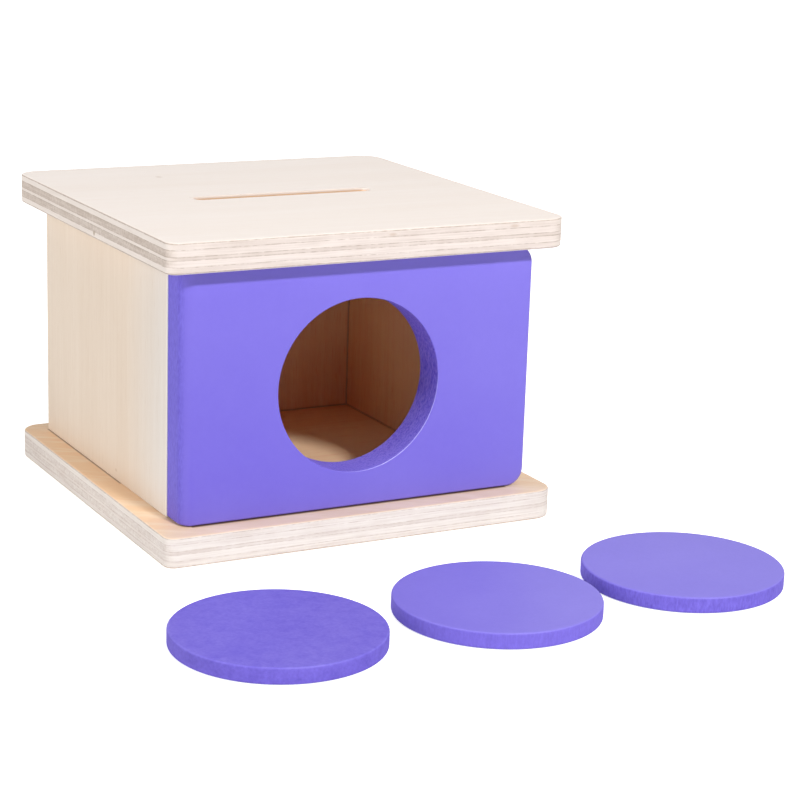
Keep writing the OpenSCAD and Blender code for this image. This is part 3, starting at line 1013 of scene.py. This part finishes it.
def door_frame(low, high, depth, back_depth):
    """Left, right, bottom and top of the door's outline, by depth below its face and its back."""
    left = round_fall(FREE_EDGE, depth) + round_fall(DOOR_BACK_EASE, back_depth)
    right = round_fall(PIVOT_EDGE, depth) + round_fall((high.y - low.y) / 2.0, back_depth)
    ends = round_fall(DOOR_EASE, depth) + round_fall(DOOR_BACK_EASE, back_depth)
    return low.x + left, high.x - right, low.z + ends, high.z - ends


def inset(frame):
    """A frame of left, right, bottom and top, made smaller by the holding band."""
    left, right, bottom, top = frame
    return left + HOLDING, right - HOLDING, bottom + HOLDING, top - HOLDING


def door_outline(bm, low, high):
    """The outline of the door's back, rounded at its corners, with enough points to meet the hole."""
    middle = Vector(((low.x + high.x) / 2.0, high.y, (low.z + high.z) / 2.0))
    size = Matrix.Diagonal((high.x - low.x, high.z - low.z, 1.0, 1.0))
    place = Matrix.Translation(middle) @ UPRIGHT @ size
    made = bmesh.ops.create_grid(bm, x_segments=1, y_segments=1, size=0.5, matrix=place)
    free_corners = [vert for vert in made["verts"] if vert.co.x < middle.x]
    pivot_corners = [vert for vert in made["verts"] if vert.co.x > middle.x]
    round_off(bm, free_corners, FREE_CORNER, FREE_CORNER_STEPS, affect="VERTICES")
    round_off(bm, pivot_corners, PIVOT_CORNER, PIVOT_CORNER_STEPS, affect="VERTICES")
    long_sides = [edge for edge in bm.edges if edge.calc_length() > LONG_SIDE]
    bmesh.ops.subdivide_edges(bm, edges=long_sides, cuts=LONG_SIDE_CUTS)
    bmesh.ops.delete(bm, geom=list(bm.faces), context="FACES_ONLY")
    return list(bm.verts), list(bm.edges)


def hole_middle(low, high):
    """The middle of the finger hole on the door's face."""
    return Vector(((low.x + high.x) / 2.0 + HOLE_ASIDE, low.y, (low.z + high.z) / 2.0 + HOLE_RAISE))


def door_hole(bm, low, high):
    """The wall of the finger hole with both rims eased; gives its edges at the face and at the back."""
    thickness = high.y - low.y
    middle = hole_middle(low, high)
    mouth_radius = HOLE_RADIUS + HOLE_EASE + HOLDING
    place = Matrix.Translation(middle) @ UPRIGHT
    made = bmesh.ops.create_circle(
        bm, cap_ends=False, segments=HOLE_STEPS, radius=mouth_radius, matrix=place,
    )
    edges = loop_of(made["verts"])
    face_edges = edges
    eased = [(depth, HOLE_RADIUS + round_fall(HOLE_EASE, depth)) for depth in round_depths(HOLE_EASE)]
    rings = eased + [(thickness - depth, radius) for depth, radius in eased[::-1]]
    rings.append((thickness, mouth_radius))
    radius_before = mouth_radius
    for depth, radius in rings:
        verts, edges = carry(bm, edges)
        share = radius / radius_before
        bmesh.ops.scale(bm, vec=(share, 1.0, share), space=Matrix.Translation(-middle), verts=verts)
        bmesh.ops.translate(bm, vec=(0.0, low.y + depth - verts[0].co.y, 0.0), verts=verts)
        radius_before = radius
    return face_edges, edges


def door_shape(low, high):
    """The door: an outline carried from back to face with its own round on each edge, and a round hole."""
    bm = bmesh.new()
    thickness = high.y - low.y
    verts, back_edges = door_outline(bm, low, high)
    frame_before = inset(door_frame(low, high, thickness, 0.0))
    resize(bm, verts, (low.x, high.x, low.z, high.z), frame_before, high.y)
    back_depths = [thickness - depth for depth in round_depths(DOOR_BACK_EASE, thickness / 2.0)]
    face_depths = round_depths(DOOR_EASE, PIVOT_EDGE, FREE_EDGE)
    edges = back_edges
    for depth in sorted(set(back_depths + face_depths), reverse=True):
        frame_now = door_frame(low, high, depth, thickness - depth)
        verts, edges = carry(bm, edges)
        resize(bm, verts, frame_before, frame_now, low.y + depth)
        frame_before = frame_now
    verts, face_edges = carry(bm, edges)
    resize(bm, verts, frame_before, inset(frame_before), low.y)
    hole_face, hole_back = door_hole(bm, low, high)
    bridge_flat(bm, face_edges, hole_face, Vector((0.0, 1.0, 0.0)))
    bridge_flat(bm, back_edges, hole_back, Vector((0.0, -1.0, 0.0)))
    return bm


def disc_shape(low, high):
    """A flat disc, spun from half its section, with both rims eased."""
    bm = bmesh.new()
    middle = Vector(((low.x + high.x) / 2.0, (low.y + high.y) / 2.0, 0.0))
    radius = (high.x - low.x) / 2.0
    flat = radius - DISC_EASE - HOLDING
    eased = [(radius - round_fall(DISC_EASE, depth), depth) for depth in round_depths(DISC_EASE)]
    section = [(0.0, low.z), (flat, low.z)]
    section += [(out, low.z + depth) for out, depth in eased]
    section += [(out, high.z - depth) for out, depth in eased[::-1]]
    section += [(flat, high.z), (0.0, high.z)]
    verts = [bm.verts.new((middle.x + out, middle.y, z)) for out, z in section]
    edges = [bm.edges.new(pair) for pair in zip(verts, verts[1:])]
    bmesh.ops.spin(
        bm, geom=verts + edges, cent=middle, axis=UP, angle=math.tau, steps=DISC_STEPS, use_merge=True,
        use_duplicate=False, use_normal_flip=False, dvec=(0.0, 0.0, 0.0),
    )
    return bm


def dowel_places(node):
    """Plan centres of the dowels of a wall."""
    low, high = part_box(node)
    if high.x - low.x > high.y - low.y:
        y = (low.y + high.y) / 2.0
        return [(low.x + DOWEL_RADIUS, y), (high.x - DOWEL_RADIUS, y)]
    x = (low.x + high.x) / 2.0
    return [(x, low.y + DOWEL_RADIUS), (x, high.y - DOWEL_RADIUS)]


# Holes for the dowels and pins
WALLS = ("left_wall", "right_wall", "back_wall")
base_low, base_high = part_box("base_board")
top_low, top_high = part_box("top_board")
dowel_low, dowel_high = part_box("left_wall_dowels")
lower_pin_low, lower_pin_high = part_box("lower_pivot_pin")
upper_pin_low, upper_pin_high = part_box("upper_pivot_pin")
door_low, door_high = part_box("front_door")
pivot_x = (lower_pin_low.x + lower_pin_high.x) / 2.0
pivot_y = (lower_pin_low.y + lower_pin_high.y) / 2.0

base_rods = [(pivot_x, pivot_y, lower_pin_low.z, base_high.z + PAST, PIN_HOLE_RADIUS)]
top_rods = [(pivot_x, pivot_y, top_low.z - PAST, upper_pin_high.z, PIN_HOLE_RADIUS)]
wall_rods = {}
for wall in WALLS:
    wall_rods[wall] = []
    for x, y in dowel_places(wall + "_dowels"):
        base_rods.append((x, y, dowel_low.z - DOWEL_END_GAP, base_high.z + PAST, DOWEL_HOLE_RADIUS))
        top_rods.append((x, y, top_low.z - PAST, dowel_high.z + DOWEL_END_GAP, DOWEL_HOLE_RADIUS))
        wall_rods[wall].append((x, y, base_high.z - PAST, base_high.z + WALL_HOLE_DEPTH, DOWEL_HOLE_RADIUS))
        wall_rods[wall].append((x, y, top_low.z - WALL_HOLE_DEPTH, top_low.z + PAST, DOWEL_HOLE_RADIUS))
door_rods = [
    (pivot_x, pivot_y, door_low.z - PAST, lower_pin_high.z, PIN_BORE_RADIUS),
    (pivot_x, pivot_y, upper_pin_low.z - PIN_END_ROOM, door_high.z + PAST, PIN_BORE_RADIUS),
]

# The boards
ALONG_X = (0, 1, 2)
board_thickness = base_high.z - base_low.z
base_material = plywood_material(
    "Base plywood", ALONG_X, base_low.z, board_thickness, BASE_TONES,
    front=(BASE_FRONT_TONES, BASE_FRONT_DEPTHS), flame=BASE_FLAME, bands=BASE_SHADOW_BANDS,
)
base_shape = board_shape(base_low, base_high, False)
base = show(base_shape, "base_plywood", base_material, "case", "base_board")
bore(base, base_rods)
smooth(base)
top_material = plywood_material(
    "Top plywood", ALONG_X, top_low.z, board_thickness, BOARD_TONES, marks=TOP_MARKS, bands=TOP_SHADE_BANDS,
)
top_shape = board_shape(top_low, top_high, True)
top = show(top_shape, "top_plywood", top_material, "case", "top_board")
bore(top, top_rods)
smooth(top)

# The walls
WALL_ORDERS = {"left_wall": (2, 1, 0), "right_wall": (2, 1, 0), "back_wall": (2, 0, 1)}
for wall, order in WALL_ORDERS.items():
    wall_low, wall_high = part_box(wall)
    through = order[2]
    wall_material = plywood_material(
        wall.replace("_", " ").capitalize() + " plywood", order, wall_low[through],
        wall_high[through] - wall_low[through], WALL_TONES,
        front=(WALL_FRONT_TONES, WALL_FRONT_DEPTHS), marks=WALL_MARKS, bands=WALL_HIGHLIGHT_BANDS,
    )
    piece = show(wall_shape(wall_low, wall_high), wall + "_panel", wall_material, "case", wall)
    bore(piece, wall_rods[wall])
    smooth(piece)

# The door and the discs
door_material = paint_material("Door paint", 1, DOOR_FINISH, hole=hole_middle(door_low, door_high))
door = show(
    door_shape(door_low, door_high), "door_panel", door_material, "door", "front_door",
)
bore(door, door_rods)
smooth(door)
for side, tones in DISC_TONES_AND_SHEEN.items():
    node = "disc_" + side
    disc_low, disc_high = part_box(node)
    disc_material = paint_material(side.capitalize() + " disc paint", 2, {**DISC_FINISH, **tones})
    shape = disc_shape(disc_low, disc_high)
    disc = show(shape, node + "_painted", disc_material, side + "_disc", node)
    smooth(disc)

# Pins and dowels keep their CAD shapes
pin_material = steel_material()
dowel_material = beech_material()
cad_materials = {"lower_pivot_pin": pin_material, "upper_pivot_pin": pin_material}
for wall in WALLS:
    cad_materials[wall + "_dowels"] = dowel_material
for node, material in cad_materials.items():
    mesh = frame["nodes"][node].data
    mesh.materials.clear()
    mesh.materials.append(material)


# The stage: the floor and its own glow in the picture, and the light from all round
WHITE = (1.0, 1.0, 1.0, 1.0)
FLOOR_TONE = (0.90, 0.90, 0.90, 1.0)
FLOOR_ROUGH = 0.9
FLOOR_HALF = 8.0
FLOOR_DROP = 0.2 * MM
NEAR_GLOW = 0.75
FAR_GLOW = 0.40
FADE_START = 0.35
FADE_END = 1.10
ROUND_LIGHT = 0.275
MIRRORED_LIGHT = 0.85

# Studio lights: name, place, aim, width, height and power in watts
LIGHTS = (
    ("Key light", (0.16, -1.40, 1.02), (0.0, -0.05, 0.06), 0.24, 0.12, 22.0),
    ("Left fill", (-2.2, 0.25, 0.9), (0.0, 0.0, 0.06), 1.4, 1.4, 25.8),
    ("Top fill", (0.1, 0.35, 2.3), (0.0, 0.0, 0.1), 1.6, 1.6, 6.2),
)


def floor():
    """A wide pale floor."""
    bm = bmesh.new()
    place_below = Matrix.Translation((0.0, 0.0, -FLOOR_DROP))
    bmesh.ops.create_grid(bm, x_segments=1, y_segments=1, size=FLOOR_HALF, matrix=place_below)
    mesh = bpy.data.meshes.new("floor")
    bm.to_mesh(mesh)
    bm.free()
    material, tree, shader, place, _ = new_material("Pale floor")
    shader.inputs["Base Color"].default_value = FLOOR_TONE
    shader.inputs["Roughness"].default_value = FLOOR_ROUGH
    shader.inputs["Specular IOR Level"].default_value = 0.0
    shader.inputs["Emission Color"].default_value = WHITE
    far = ramp_value(tree, vectors(tree, "LENGTH", place), FADE_START, FADE_END)
    glow = maths(tree, "MULTIPLY_ADD", far, FAR_GLOW, NEAR_GLOW)
    seen = tree.nodes.new("ShaderNodeLightPath").outputs["Is Camera Ray"]
    tree.links.new(maths(tree, "MULTIPLY", glow, seen), shader.inputs["Emission Strength"])
    mesh.materials.append(material)
    piece = bpy.data.objects.new("floor", mesh)
    bpy.context.scene.collection.objects.link(piece)


def softbox(name, place, aim, width, height, power):
    """A studio light of a width and height at a place, turned to a point."""
    data = bpy.data.lights.new(name, "AREA")
    data.shape = "RECTANGLE"
    data.size = width
    data.size_y = height
    data.energy = power
    light = bpy.data.objects.new(name, data)
    light.location = place
    light.rotation_euler = (Vector(aim) - Vector(place)).to_track_quat("-Z", "Y").to_euler()
    bpy.context.scene.collection.objects.link(light)


def surroundings(strength):
    """Even white light from all round."""
    world = bpy.data.worlds.new("Studio")
    world.use_nodes = True
    tree = world.node_tree
    back = tree.nodes["Background"]
    back.inputs["Color"].default_value = WHITE
    path = tree.nodes.new("ShaderNodeLightPath").outputs
    mirrored = maths(tree, "MULTIPLY", path["Is Glossy Ray"], MIRRORED_LIGHT)
    shown = maths(tree, "MAXIMUM", path["Is Camera Ray"], mirrored)
    tree.links.new(maths(tree, "MAXIMUM", shown, strength), back.inputs["Strength"])
    bpy.context.scene.world = world


def camera():
    """A camera at the photo's place, level, roll and lens."""
    back = Vector((
        math.sin(CAMERA_AZIMUTH) * math.cos(CAMERA_ELEVATION),
        -math.cos(CAMERA_AZIMUTH) * math.cos(CAMERA_ELEVATION),
        math.sin(CAMERA_ELEVATION),
    ))
    level_right = (-back).cross(UP).normalized()
    level_up = level_right.cross(-back)
    right = level_right * math.cos(CAMERA_ROLL) + level_up * math.sin(CAMERA_ROLL)
    up = level_up * math.cos(CAMERA_ROLL) - level_right * math.sin(CAMERA_ROLL)
    data = bpy.data.cameras.new("Camera")
    data.lens = CAMERA_LENS
    data.sensor_width = CAMERA_SENSOR
    data.clip_start = CAMERA_NEAR
    data.clip_end = CAMERA_FAR
    holder = bpy.data.objects.new("Camera", data)
    turn = Matrix((right, up, back)).transposed().to_4x4()
    holder.matrix_world = Matrix.Translation(CAMERA_TARGET + back * CAMERA_DISTANCE) @ turn
    bpy.context.scene.collection.objects.link(holder)
    bpy.context.scene.camera = holder


floor()
for light in LIGHTS:
    softbox(*light)
surroundings(ROUND_LIGHT)
camera()
bpy.context.scene.view_settings.view_transform = "Standard"
